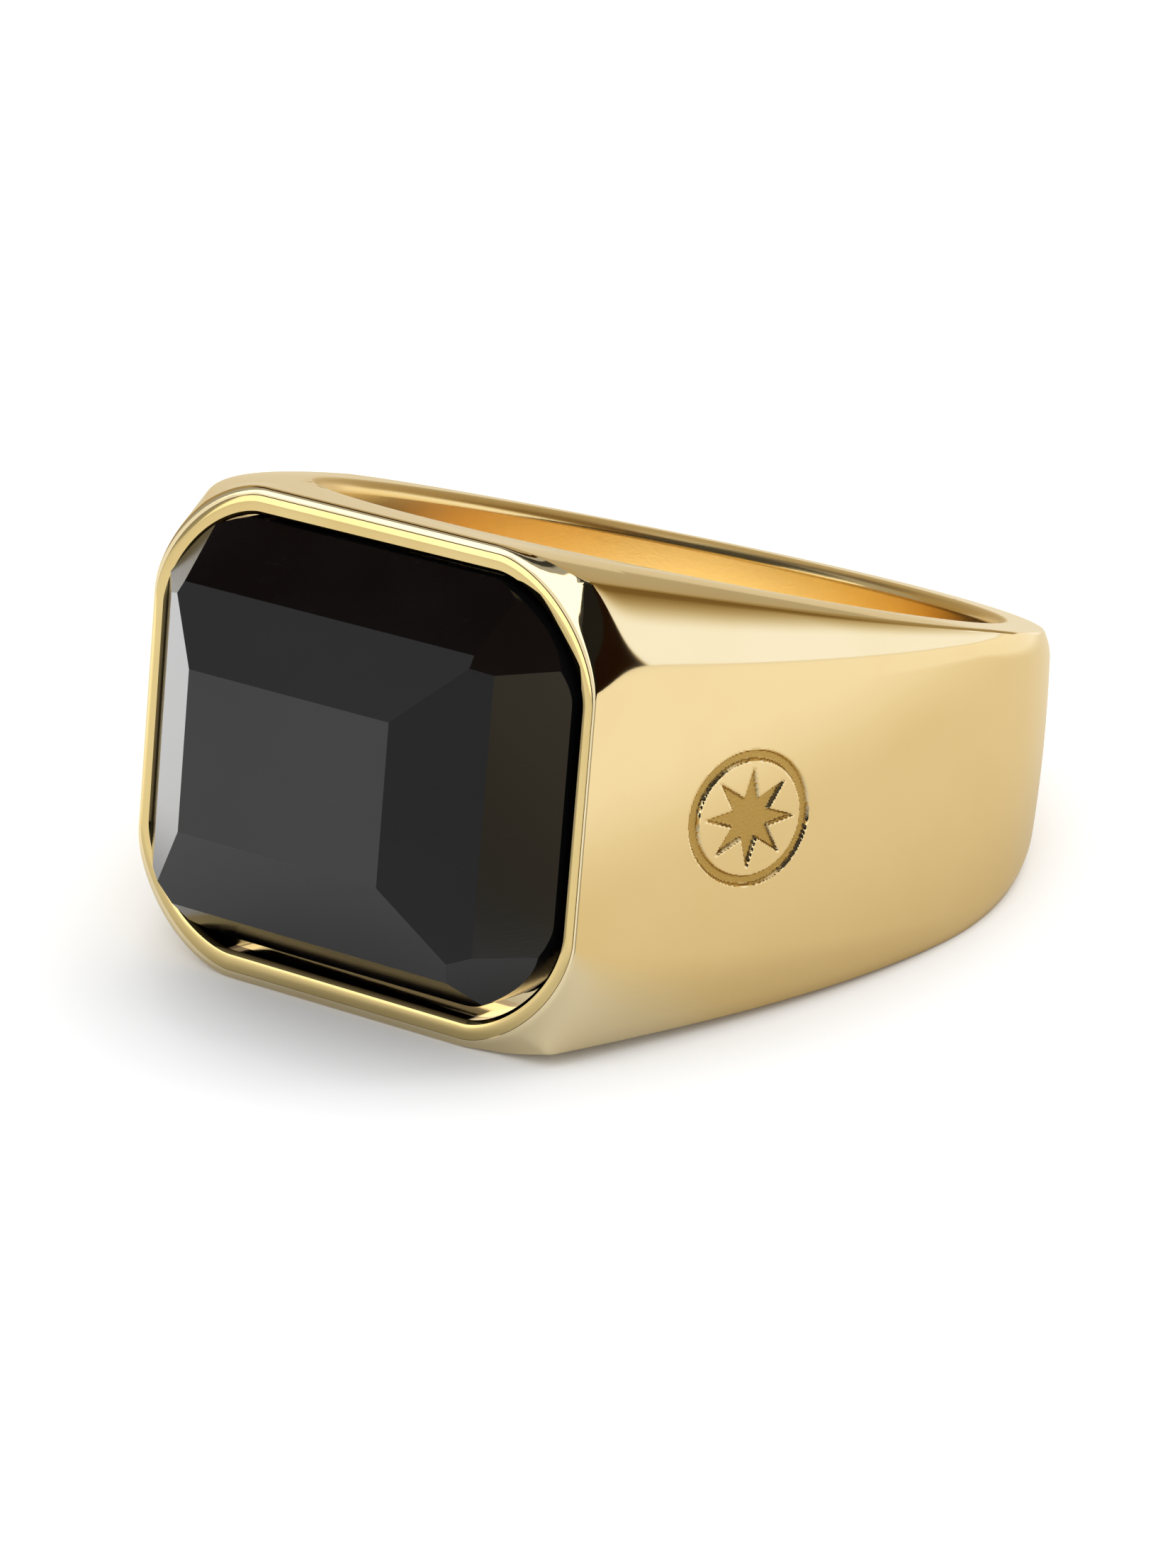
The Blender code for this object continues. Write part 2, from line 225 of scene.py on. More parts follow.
def wall_shares():
    """Heights up the flat of the wall, from 1 at the foot of the bend to -1, dense in the middle."""
    dense = EMBLEM_FIELD / (half_width(-HEAD_FRONT) - HEAD_CORNER_RADIUS)
    count = round(2 * EMBLEM_FIELD / FINE_STEP)
    upper = np.linspace(1, dense, WALL_STEPS, endpoint=False)
    return np.concatenate([upper, np.linspace(dense, -dense, count + 1), -upper[::-1]])


def bend_and_roof(point, side):
    """(depth inside the wall, height) from the foot of the bend to the inner end of the roof,
    in two curves that meet at the crease."""
    behind = point[1] + HEAD_FRONT
    width = half_width(point[1])
    drop = ROOF_DROP * max(1 - behind / HEAD_FRONT, 0.0)
    rise = max(width - drop - BEND_HEIGHT, LEAST_BEND)
    bend = rise * BEND_SLOPE / 2
    wall = math.hypot(*point) - FINGER_RADIUS - HOLE_ROUNDING
    reach = min(ROOF_REACH, max(wall - bend, LEAST_REACH))
    up = np.linspace(0, 1, BEND_ROWS)
    over = np.linspace(0, 1, ROOF_ROWS)
    square_bend = np.stack([bend * up**2, width - drop - rise * (1 - up)], axis=1)
    square_roof = np.stack([bend + reach * over, width - drop * (1 - over) ** 2], axis=1)
    curves = []
    at_foot, at_crease = CORNER_FADE[side]
    for square, angle, fade in (
        (square_bend, HEAD_CREASE * up, at_foot + (at_crease - at_foot) * up),
        (square_roof, HEAD_CREASE + (math.pi / 2 - HEAD_CREASE) * over, at_crease),
    ):
        share = np.array([flattened(a) for a in angle])
        depth = HEAD_CORNER_RADIUS * (1 - share * np.cos(angle))
        height = width - HEAD_CORNER_RADIUS * (1 - share * np.sin(angle))
        round_share = np.exp(-behind / fade) * np.ones(len(angle))
        corner = np.stack([depth, height], axis=1)
        curves.append(square + (corner - square) * round_share[:, None])
    return curves


def with_fillet(bend, roof):
    """One curve from the inner end of the roof to the foot of the bend, its crease rounded."""
    down = bend[-1] - bend[-2]
    back = roof[1] - roof[0]
    lip = bend[-1] - down / np.linalg.norm(down) * CREASE
    flat = roof[0] + back / np.linalg.norm(back) * CREASE
    steps = np.linspace(0, 1, CREASE_ROWS)[:, None]
    fillet = flat * (1 - steps) ** 2 + bend[-1] * 2 * steps * (1 - steps) + lip * steps**2
    return np.concatenate([roof[:0:-1], fillet, bend[-3::-1]])


def wall_column(point, inward, shares, side):
    """Points down the wall at one station, from one side face to the other."""
    width = half_width(point[1])
    behind = point[1] + HEAD_FRONT
    upper = with_fillet(*bend_and_roof(point, side))
    inner = upper[:1] + ((SIDE_INSET, 0),)
    knee = upper[-1, 1]
    middle = np.stack([np.zeros(len(shares)), shares * knee], axis=1)
    curve = np.concatenate([inner, upper[:-1], middle, upper[-2::-1] * (1, -1), inner * (1, -1)])
    depth, height = curve.T
    crown = WALL_CROWN * (1 - math.exp(-behind / CROWN_RUN_IN))
    depth = depth + crown * (height / width) ** 2
    x = point[0] + inward[0] * depth
    y = point[1] + inward[1] * depth
    return np.stack([x, y, height * half_width(y) / width], axis=1)


def star_distance(across, up):
    """Distance from a star's outline, negative inside it."""
    sector = math.pi / STAR_POINTS
    angle = np.arctan2(across, up)
    angle = np.abs((angle + sector) % (2 * sector) - sector)
    radius = np.hypot(across, up)
    tip = np.array([STAR_TIP, 0.0])
    waist = STAR_WAIST * np.array([math.cos(sector), math.sin(sector)])
    edge = (waist - tip) / np.linalg.norm(waist - tip)
    return (radius * np.cos(angle) - tip[0]) * edge[1] - (radius * np.sin(angle)) * edge[0]


def engraving(points):
    """How deeply each wall point is engraved, from 0 to 1."""
    step = 0.01
    rise = shoulder_half_length(EMBLEM_Y + step) - shoulder_half_length(EMBLEM_Y - step)
    stretch = math.hypot(1, rise / (2 * step))
    across = (points[..., 1] - EMBLEM_Y) * stretch
    up = points[..., 2] - EMBLEM_Z
    ring = np.abs(np.hypot(across, up) - EMBLEM_RADIUS + EMBLEM_STROKE / 2) - EMBLEM_STROKE / 2
    inside = -np.minimum(star_distance(across, up), ring)
    share = np.clip(inside / ENGRAVING_SLOPE + 0.5, 0, 1)
    return share * share * (3 - 2 * share)


def outer_solid():
    """The outside of the ring body as one closed mesh, with the emblem sunk into it and each
    vertex marked with how deeply it is engraved."""
    shares = wall_shares()
    right = np.array([wall_column(*s, shares, 1) for s in half_stations(True)])
    left = np.array([wall_column(*s, shares, -1) for s in half_stations(False)[:-1]])[::-1]
    left[..., 0] *= -1
    on_shoulder = right[..., 1] < 0
    depth = engraving(right) * on_shoulder
    normal = np.cross(np.gradient(right, axis=1), np.gradient(right, axis=0))
    normal /= np.linalg.norm(normal, axis=2, keepdims=True)
    outward = np.sign(np.sum(normal * right * (1, 1, 0), axis=2, keepdims=True))
    right = right - normal * outward * (depth * ENGRAVING_DEPTH)[..., None]
    grid = np.concatenate([right, left])
    engraved = np.concatenate([depth, np.zeros(left.shape[:2])])
    made = bmesh.new()
    mark = made.verts.layers.float.new("engraved")
    columns = []
    for points, depths in zip(grid, engraved):
        column = []
        for point, value in zip(points, depths):
            vertex = made.verts.new(point)
            vertex[mark] = value
            column.append(vertex)
        columns.append(column)
    for near, far in zip(columns, columns[1:]):
        for i in range(len(near) - 1):
            made.faces.new((near[i], near[i + 1], far[i + 1], far[i]))
    made.faces.new([column[0] for column in columns])
    made.faces.new([column[-1] for column in reversed(columns)])
    close_head(made, columns[0] + columns[-1][::-1], shares)
    return made


def head_outline(behind, shares):
    """Points once round the head, at one distance behind its front."""
    y = behind - HEAD_FRONT
    point = (shoulder_half_length(y), y)
    right, left = (wall_column(point, (-1.0, 0.0), shares, side) for side in (1, -1))
    return np.concatenate([right, left[::-1] * (-1, 1, 1)])


def close_head(made, rim, shares):
    """The rounded front edge of the head and its flat front."""
    outline = head_outline(0, shares)
    tangent = np.roll(outline, -1, axis=0) - np.roll(outline, 1, axis=0)
    out = np.stack([-tangent[:, 2], np.zeros(len(outline)), tangent[:, 0]], axis=1)
    out /= np.linalg.norm(out, axis=1, keepdims=True)
    out *= np.sign(np.sum(out * outline * (1, 0, 1), axis=1, keepdims=True))
    radius = HEAD_EDGE[0] + (HEAD_EDGE[1] - HEAD_EDGE[0]) * out[:, 2] ** 2
    rings = [rim]
    for share in np.linspace(1, 0, HEAD_ROWS)[1:]:
        row = []
        for i, size in enumerate(radius):
            behind = size + (HEAD_EDGE[1] - size) * share
            row.append(head_outline(behind, shares)[i])
        rings.append([made.verts.new(point) for point in row])
    start = np.array(row)
    end = outline - out * radius[:, None]
    for t in np.linspace(0, 1, HEAD_EDGE_ROWS)[1:]:
        row = start * (1 - t) ** 2 + outline * 2 * t * (1 - t) + end * t**2
        rings.append([made.verts.new(point) for point in row])
    bridge(made, rings)
    made.faces.new(rings[-1])


# ---------------------------------------------------------------- cutters and small shapes

def bridge(made, rings):
    """Faces between each ring of vertices and the next."""
    for first, second in zip(rings, rings[1:]):
        for i in range(len(first)):
            j = (i + 1) % len(first)
            made.faces.new((first[i], first[j], second[j], second[i]))


def hole_cutter():
    """A cylinder that opens out as it meets the side faces, for the rounded rims."""
    profile = [(FINGER_RADIUS + HOLE_ROUNDING, CUTTER_MARGIN)]
    for angle in np.linspace(0, math.pi / 2, ROUNDING_STEPS):
        inset = HOLE_ROUNDING * (1 - math.sin(angle))
        profile.append((FINGER_RADIUS + inset, -HOLE_ROUNDING * (1 - math.cos(angle))))
    made = bmesh.new()
    rings = []
    for side, levels in ((1, profile), (-1, profile[::-1])):
        for radius, above in levels:
            ring = []
            for i in range(HOLE_STEPS):
                angle = math.tau * i / HOLE_STEPS
                x, y = radius * math.cos(angle), radius * math.sin(angle)
                ring.append(made.verts.new((x, y, side * (half_width(y) + above))))
            rings.append(ring)
    bridge(made, rings)
    made.faces.new(rings[0])
    made.faces.new(rings[-1])
    return made


def rounded_rectangle(half_length, half_height, radius):
    """(x, z) points of a rectangle whose corners are flattened like the head's."""
    points = []
    for quarter in range(4):
        sign_x = 1 if quarter in (0, 3) else -1
        sign_z = 1 if quarter in (0, 1) else -1
        for i in range(CORNER_STEPS + 1):
            angle = math.pi / 2 * (quarter + i / CORNER_STEPS)
            reach = radius * flattened(math.pi / 2 * i / CORNER_STEPS)
            x = sign_x * (half_length - radius) + reach * math.cos(angle)
            z = sign_z * (half_height - radius) + reach * math.sin(angle)
            points.append((x, z))
    return points


def add_loops(made, loops):
    """Rings of vertices from (outline, distance) pairs, joined one after the other."""
    rings = []
    for outline, distance in loops:
        rings.append([made.verts.new((x, -distance, z)) for x, z in rounded_rectangle(*outline)])
    bridge(made, rings)
    return rings


def block(outline, front, back):
    """A solid with one outline between two distances from the finger axis."""
    made = bmesh.new()
    rings = add_loops(made, [(outline, front), (outline, back)])
    made.faces.new(rings[0])
    made.faces.new(rings[-1])
    return made


def shrunk(outline, amount):
    return tuple(size - amount for size in outline)


# ---------------------------------------------------------------- objects

def row_place():
    """Turns the ring's own frame, in millimetres, into the row frame, in metres."""
    front = -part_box("stone")[0].y / MM
    lean = LOWER_EDGES[0][1] * math.cos(TAPER) + LOWER_EDGES[0][0] * math.sin(TAPER)
    place = Vector((0, lean - front, HALF_WIDTH * math.cos(TAPER))) * MM
    return Matrix.Translation(place) @ Matrix.Rotation(-TAPER, 4, "X") @ Matrix.Scale(MM, 4)


def add_mesh(name, made):
    bmesh.ops.recalc_face_normals(made, faces=made.faces)
    mesh = bpy.data.meshes.new(name)
    made.to_mesh(mesh)
    made.free()
    obj = bpy.data.objects.new(name, mesh)
    bpy.context.collection.objects.link(obj)
    return obj


def subtract(target, made):
    """Takes the cutter's shape out of the target for good."""
    cutter = add_mesh("cutter", made)
    modifier = target.modifiers.new("cut", "BOOLEAN")
    modifier.operation = "DIFFERENCE"
    modifier.solver = "MANIFOLD"
    modifier.object = cutter
    graph = bpy.context.evaluated_depsgraph_get()
    mesh = bpy.data.meshes.new_from_object(target.evaluated_get(graph))
    target.modifiers.clear()
    target.data = mesh
    bpy.data.objects.remove(cutter)


def finish_piece(obj, place, look, node, sharp=METAL_SHARP):
    """Puts the piece in the row frame, shades it and lets it stand for its CAD node."""
    obj.data.transform(place)
    obj.data.shade_smooth()
    obj.data.set_sharp_from_angle(angle=math.radians(sharp))
    obj.data.materials.clear()
    obj.data.materials.append(look)
    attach(obj, "root")
    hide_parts(node)


def ring_body():
    body = add_mesh("gold_ring", outer_solid())
    subtract(body, hole_cutter())
    beyond = HEAD_FRONT + 1
    subtract(body, block(shrunk(RIM_OUTER, -FIT_GAP), beyond, RIM_BACK - FIT_GAP))
    subtract(body, block(STONE_POCKET, HEAD_FRONT, POCKET_FLOOR))
    mark_bore(body.data)
    return body


def mark_bore(mesh):
    """Marks the vertices of the finger hole, which is finished more coarsely than the outside and
    painted a warmer gold for the gold's reflections of itself inside it.
    """
    mark = mesh.attributes.new("bore", "FLOAT", "POINT")
    for vertex, value in zip(mesh.vertices, mark.data):
        beyond = math.hypot(*vertex.co.xy) - FINGER_RADIUS
        value.value = max(1 - beyond / HOLE_ROUNDING, 0.0)


def rim_section():
    """(outline, distance) pairs once round the rim's section."""
    section = [(RIM_OUTER, RIM_BACK)]
    for i in range(RIM_ROUNDING_STEPS + 1):
        angle = math.pi / 2 * i / RIM_ROUNDING_STEPS
        inset = RIM_ROUNDING * (1 - math.cos(angle))
        rise = RIM_ROUNDING * math.sin(angle)
        section.append((shrunk(RIM_OUTER, inset), RIM_FRONT - RIM_ROUNDING + rise))
    outer = shrunk(RIM_OUTER, RIM_ROUNDING)
    inner = shrunk(RIM_INNER, -RIM_INNER_BEVEL)
    for i in range(1, RIM_PILLOW_STEPS + 1):
        share = i / RIM_PILLOW_STEPS
        outline = tuple(a + share * (b - a) for a, b in zip(outer, inner))
        section.append((outline, RIM_FRONT + RIM_PILLOW * math.sin(math.pi * share)))
    section.append((RIM_INNER, RIM_FRONT - RIM_INNER_BEVEL))
    section.append((RIM_INNER, RIM_BACK))
    return section


def bezel_rim():
    """The rim, with an uneven inner edge and its inner wall marked for painted shade, nearly black as
    the narrow gap beside the stone.
    """
    made = bmesh.new()
    mark = made.verts.layers.float.new("painted_gap_shade")
    section = rim_section()
    rings = add_loops(made, section)
    bridge(made, [rings[-1], rings[0]])
    # the inner wall is painted nearly black, as shade in the narrow gap beside the stone
    for vertex in rings[-1] + rings[-2]:
        vertex[mark] = 1.0
    uneven_up_to = RIM_INNER[0] + 1.5 * RIM_INNER_BEVEL
    for ring, (outline, _) in zip(rings, section):
        if outline[0] >= uneven_up_to:
            continue
        for vertex in ring:
            angle = math.atan2(vertex.co.z, vertex.co.x)
            wave = sum(share * math.sin(waves * angle + start) for share, waves, start in RIM_WAVES)
            grow = 1 + RIM_WAVE * wave / RIM_INNER[0]
            vertex.co.x *= grow
            vertex.co.z *= grow
    return add_mesh("gold_bezel_rim", made)


def facet(made, point, normal):
    """Cuts the solid with a plane and closes it, and keeps the side away from the normal."""
    shape = made.verts[:] + made.edges[:] + made.faces[:]
    result = bmesh.ops.bisect_plane(
        made, geom=shape, dist=PLANE_TOLERANCE, plane_co=point, plane_no=normal, clear_outer=True
    )
    rim = [e for e in result["geom_cut"] if isinstance(e, bmesh.types.BMEdge)]
    bmesh.ops.contextual_create(made, geom=rim)


def sloping_facets(made, edges, out):
    """The facets between the edges of one side, which faces out."""
    for (upper, top), (lower, bottom) in zip(edges, edges[1:]):
        on_edge = Vector(out) * lower - Vector((0, bottom, 0))
        facet(made, on_edge, Vector(out) * (top - bottom) - Vector((0, lower - upper, 0)))


def size_at(edges, distance):
    """Half-size of the first step at a distance from the axis."""
    (upper, top), (lower, bottom) = edges[:2]
    return upper + (lower - upper) * (top - distance) / (top - bottom)


def corner_facets(made):
    """Four facets across the corners of the second step, up to the hips of the first."""
    end, distance = END_EDGES[2]
    for side_z, edges in ((1, UPPER_EDGES), (-1, LOWER_EDGES)):
        side = edges[2][0]
        top_x, top_z = size_at(END_EDGES, CORNER_TOP), size_at(edges, CORNER_TOP)
        top = Vector((top_x, -CORNER_TOP, side_z * top_z))
        start = Vector((end, -distance, side_z * (side - CORNER_CUT[1])))
        finish = Vector((end - CORNER_CUT[0], -distance, side_z * side))
        normal = (finish - start).cross(top - start)
        if normal.x < 0:
            normal.negate()
        for side_x in (1, -1):
            flip = Matrix.Diagonal((side_x, 1, 1))
            facet(made, flip @ start, flip @ normal)


def stone():
    made = block(GIRDLE, END_EDGES[0][1], STONE_BACK)
    bmesh.ops.translate(made, vec=(0, 0, GIRDLE_RISE), verts=made.verts)
    for out in ((1, 0, 0), (-1, 0, 0)):
        sloping_facets(made, END_EDGES, out)
    sloping_facets(made, UPPER_EDGES, (0, 0, 1))
    sloping_facets(made, LOWER_EDGES, (0, 0, -1))
    corner_facets(made)
    for side in (1, -1):
        facet(made, (side * (GIRDLE[0] - BACK_CHAMFER), -STONE_BACK, 0), (side, 1, 0))
        edge = side * (GIRDLE[1] - BACK_CHAMFER) + GIRDLE_RISE
        facet(made, (0, -STONE_BACK, edge), (0, 1, side))
    return add_mesh("black_stone", made)


def cement():
    return add_mesh("cement_bed", block(CEMENT_OUTER, CEMENT_FRONT, CEMENT_BACK))


# ---------------------------------------------------------------- materials

class Nodes:
    """Short names for adding and joining shader nodes."""

    def __init__(self, tree):
        self.tree = tree
        tree.nodes.clear()

    def add(self, kind, inputs=None, **settings):
        node = self.tree.nodes.new("ShaderNode" + kind)
        for name, value in settings.items():
            setattr(node, name, value)
        for name, value in (inputs or {}).items():
            if isinstance(value, bpy.types.NodeSocket):
                self.tree.links.new(value, node.inputs[name])
            else:
                node.inputs[name].default_value = value
        return node

    def math(self, operation, first, second=0.0):
        return self.add("Math", {0: first, 1: second}, operation=operation).outputs[0]

    def plus(self, first, second):
        return self.math("ADD", first, second)

    def times(self, first, second):
        return self.math("MULTIPLY", first, second)

    def brighter(self, first, second):
        return self.math("MAXIMUM", first, second)

    def noise(self, place, scale, detail):
        return self.add("TexNoise", {"Vector": place, "Scale": scale, "Detail": detail}).outputs["Fac"]

    def attribute(self, name):
        return self.add("Attribute", attribute_name=name).outputs["Fac"]

    def ramp(self, value, low, high, at_low=0.0, at_high=1.0, smooth=True):
        """Maps value from low..high to at_low..at_high and holds it beyond them."""
        ends = {"From Min": low, "From Max": high, "To Min": at_low, "To Max": at_high}
        kind = "SMOOTHSTEP" if smooth else "LINEAR"
        node = self.add("MapRange", {"Value": value, **ends}, interpolation_type=kind)
        return node.outputs["Result"]

    def fall(self, value, low, high):
        return self.ramp(value, low, high, 1.0, 0.0)

    def mix(self, factor, first, second):
        """Mixes two colours; the node's colour inputs are its sockets 6 and 7, its output 2."""
        node = self.add("Mix", data_type="RGBA")
        for index, value in ((0, factor), (6, first), (7, second)):
            socket = node.inputs[index]
            if isinstance(value, bpy.types.NodeSocket):
                self.tree.links.new(value, socket)
            else:
                socket.default_value = value
        return node.outputs[2]

    def surface(self, shader):
        self.add("OutputMaterial", {"Surface": shader.outputs[0]})


def new_material(name):
    made = bpy.data.materials.new(name)
    made.use_nodes = True
    return made, Nodes(made.node_tree)


GOLD_COLOURS = ((0.85, 0.71, 0.44, 1), (0.835, 0.685, 0.405, 1))
# painted shade: the rim is the same gold as the body, given a darker, deeper copy for the dimmer
# reflections on its front
RIM_SHADED_COLOURS = ((0.72, 0.555, 0.25, 1), (0.68, 0.515, 0.215, 1))
# painted reflection: the bore's warmer gold stands in for the gold reflecting itself inside the hole
BORE_REFLECTION_COLOUR = (0.84, 0.63, 0.28, 1)
# painted shade: the rim's inner wall, dark as the narrow gap beside the stone
GAP_SHADE_COLOUR = (0.10, 0.055, 0.02, 1)
# painted shade: the engraving's grainy floor is given a darker, browner gold, as shade in the recess
ENGRAVED_SHADE_COLOUR = (0.50, 0.34, 0.11, 1)
ONYX_COLOURS = ((0.0022, 0.0022, 0.0026, 1), (0.0045, 0.0045, 0.005, 1))
ONYX_IOR = 1.54
CEMENT_COLOURS = ((0.42, 0.37, 0.28, 1), (0.62, 0.57, 0.46, 1))

# Noise scales, per metre
HAZE_SCALE = 260.0
HAIR_SCALE = 1500.0
HAIR_STRETCH = (1, 1, 14)  # hairline scratches run round the finger
GRAIN_SCALE = 14000.0
CLOUD_SCALE = 180.0
SPECK_SCALE = 5200.0
RUB_SCALE = 1300.0
RUB_STRETCH = (1, 1, 22)
RUB_TURN = (0.0, 0.7, 0.0)
CEMENT_SCALE = 1500.0

# Roughness
GOLD_ROUGHNESS = (0.05, 0.075)
BORE_ROUGHNESS = 0.13  # what the bore adds to it
LIP_ROUGHNESS = 0.3  # and the middle of the hole's rounded rims
HAIR_ROUGHNESS = 0.05
ENGRAVED_ROUGHNESS = 0.27
ONYX_ROUGHNESS = (0.10, 0.17)
SPECK_ROUGHNESS = 0.15
RUB_ROUGHNESS = 0.12
CEMENT_ROUGHNESS = 0.65

# Heights for the bump, whose unit is BUMP_DISTANCE in metres
BUMP_DISTANCE = 0.00001
HAIR_HEIGHT = 0.02
HAZE_HEIGHT = 0.02
GRAIN_HEIGHT = 6.0  # of the grain on the engraving's floor
BORE_GRAIN = 0.06  # share of it that the bore has
GOLD_BUMP = 0.25
ONYX_BUMP = 0.1


def gold_roughness(n, haze, hairs, bore, sunk):
    """Roughness of the polish, the bore, the rims of the hole, the scratches and the engraving."""
    rough = n.ramp(haze, 0.3, 0.75, *GOLD_ROUGHNESS)
    rough = n.plus(rough, n.times(bore, BORE_ROUGHNESS))
    lip = n.times(n.ramp(bore, 0.0, 0.5), n.fall(bore, 0.6, 1.0))
    rough = n.plus(rough, n.times(lip, LIP_ROUGHNESS))
    rough = n.plus(rough, n.ramp(hairs, 0.62, 0.8, 0.0, HAIR_ROUGHNESS))
    return n.plus(rough, n.times(sunk, ENGRAVED_ROUGHNESS))


def gold(name, colours):
    """Polished gold with a faint haze and hairline scratches; the engraving's floor is grainy. Painted
    into the colour are shade on the engraving's floor and on the rim's inner wall, and a warm
    reflection in the bore.
    """
    made, n = new_material(name)
    place = n.add("TexCoord").outputs["Object"]
    stretched = n.add("Mapping", {"Vector": place, "Scale": HAIR_STRETCH}).outputs["Vector"]
    haze = n.noise(place, HAZE_SCALE, 4.0)
    hairs = n.noise(stretched, HAIR_SCALE, 3.0)
    grain = n.noise(place, GRAIN_SCALE, 2.0)
    sunk = n.attribute("engraved")
    bore = n.attribute("bore")
    colour = n.mix(n.ramp(haze, 0.35, 0.7), *colours)
    # the bore's warmer colour is a painted reflection
    colour = n.mix(bore, colour, BORE_REFLECTION_COLOUR)
    # painted shade on the engraving's floor
    colour = n.mix(sunk, colour, ENGRAVED_SHADE_COLOUR)
    # painted shade on the rim's inner wall
    colour = n.mix(n.attribute("painted_gap_shade"), colour, GAP_SHADE_COLOUR)
    rough = gold_roughness(n, haze, hairs, bore, sunk)
    height = n.plus(n.times(hairs, HAIR_HEIGHT), n.times(haze, HAZE_HEIGHT))
    grainy = n.times(grain, n.plus(sunk, n.times(bore, BORE_GRAIN)))
    height = n.plus(height, n.times(grainy, GRAIN_HEIGHT))
    bump = n.add("Bump", {"Height": height, "Strength": GOLD_BUMP, "Distance": BUMP_DISTANCE})
    look = {"Base Color": colour, "Metallic": 1.0, "Roughness": rough, "Normal": bump.outputs[0]}
    n.surface(n.add("BsdfPrincipled", look))
    return made


def onyx():
    """Black stone with a glassy polish, faint cloudiness and rubbed, lightly scratched facets."""
    made, n = new_material("black_onyx")
    place = n.add("TexCoord").outputs["Object"]
    turned = n.add("Mapping", {"Vector": place, "Rotation": RUB_TURN, "Scale": RUB_STRETCH})
    cloud = n.noise(place, CLOUD_SCALE, 5.0)
    specks = n.noise(place, SPECK_SCALE, 3.0)
    rubs = n.noise(turned.outputs[0], RUB_SCALE, 2.0)
    colour = n.mix(n.ramp(cloud, 0.35, 0.75), *ONYX_COLOURS)
    rough = n.ramp(cloud, 0.3, 0.8, *ONYX_ROUGHNESS)
    rough = n.plus(rough, n.ramp(specks, 0.66, 0.8, 0.0, SPECK_ROUGHNESS))
    rough = n.plus(rough, n.ramp(rubs, 0.66, 0.8, 0.0, RUB_ROUGHNESS))
    bump = n.add("Bump", {"Height": rubs, "Strength": ONYX_BUMP, "Distance": BUMP_DISTANCE})
    look = {"Base Color": colour, "Roughness": rough, "IOR": ONYX_IOR, "Normal": bump.outputs[0]}
    n.surface(n.add("BsdfPrincipled", look))
    return made


def cement_look():
    """Matt, blotchy cement."""
    made, n = new_material("setting_cement")
    place = n.add("TexCoord").outputs["Object"]
    colour = n.mix(n.noise(place, CEMENT_SCALE, 4.0), *CEMENT_COLOURS)
    n.surface(n.add("BsdfPrincipled", {"Base Color": colour, "Roughness": CEMENT_ROUGHNESS}))
    return made


# ---------------------------------------------------------------- studio

FLOOR_SIZE = 3.0
WARM = (1.0, 1.32, 2.1)  # powers that turn a grey into the warm tone gold shows by inter-reflection
WARM_SIDES = (60, 284, 5)
WHITE_STRENGTH = 1.12  # of the plain white world that lights the floor and that the camera sees

# What reflections see. Directions are in degrees, round the ring from its front and above the
# floor; a third number is the width of a soft edge. Brightness is 1 for white.
# The sweep: pale, behind and beside the ring, darker upwards from a line that varies round it.
SWEEP_SIDES = (90.5, 236, 1.0)
SWEEP_LIGHT = 1.13
SWEEP_TOP = ((90, 21.5), (120, 18.5), (160, 5), (180, -8), (205, -12))
SWEEP_UPPER = ((90, 0.2), (130, 0.22), (150, 0.38), (190, 0.40), (206, 0.52))
SWEEP_FALL = (-6, 9)
SWEEP_START = (58, 60)  # where the sweep comes in above and below the black card
OVERHEAD = (64, 70)
OVERHEAD_LIGHT = 0.85
HIGH_CARD_SIDES = (60, 84, 3)
HIGH_CARD_RISE = (44, 64, 4)
HIGH_CARD_LEVEL = 0.09
# The black card at the front right, whose right end is rounded and cut off at an upright edge
CARD_CENTRE = (60, -3)
CARD_SIZE = 30.0
CARD_POWER = 1.6
CARD_SOFT = 0.03
CARD_RIGHT = (91, 92)
CARD_LEVEL = 0.012
# The rest: a bright window and a dimmer wall at the front left, a grey box high on the left
WINDOW_SIDES = (318, 352, 1.5)
WINDOW_TOP = (26, 29)
WINDOW_LIGHT = 1.9
FRONT_LEFT_SIDES = (238, 345, 3)
FRONT_LEFT_TOP = (36, 44)
FRONT_LEFT_LIGHT = 0.42
FILL_SIDES = (287, 313, 3)
FILL_RISE = (34, 66, 5)
FILL_LIGHT = 0.46
ROOM_LEVEL = 0.045

# The floor as reflections see it, with painted light and shade; distances from the finger axis are in
# metres
FLOOR_MIRRORED = 0.816
FLOOR_SHADE = 0.82  # of the floor beside the ring
FLOOR_CLEARS = (0.027, 0.042)
FLOOR_WARM_SIDES = (60, 236, 20)
# painted light on the floor inside the ring
INSIDE_RING = (0.009, 0.0105)
INSIDE_LIGHT = 2.3
CARD_ON_FLOOR = 0.6  # painted shade in front of the black card
CARD_FLOOR_SIDE = (48, 66)
CARD_FLOOR_RUN = (0.02, 0.04)
BACK_OF_FLOOR = 0.3  # painted shade far behind the ring
BACK_FLOOR_SIDES = (200, 300, 12)
BACK_FLOOR_RUN = (0.018, 0.045)
PATCH_SIDES = (255, 305, 12)  # a patch of painted light to the left of the ring
PATCH_RUN = (0.021, 0.1, 0.006)
PATCH_LIGHT = 1.75

# A soft light behind the ring that reflections don't see
LIGHT_AZIMUTH = math.radians(165)
LIGHT_ELEVATION = math.radians(62)
LIGHT_DISTANCE = 0.6
LIGHT_SIZE = 0.5
LIGHT_POWER = 1.0


def window(n, value, low, high, soft):
    """1 between low and high, falling to 0 over soft beyond them."""
    return n.times(n.ramp(value, low - soft, low), n.fall(value, high, high + soft))


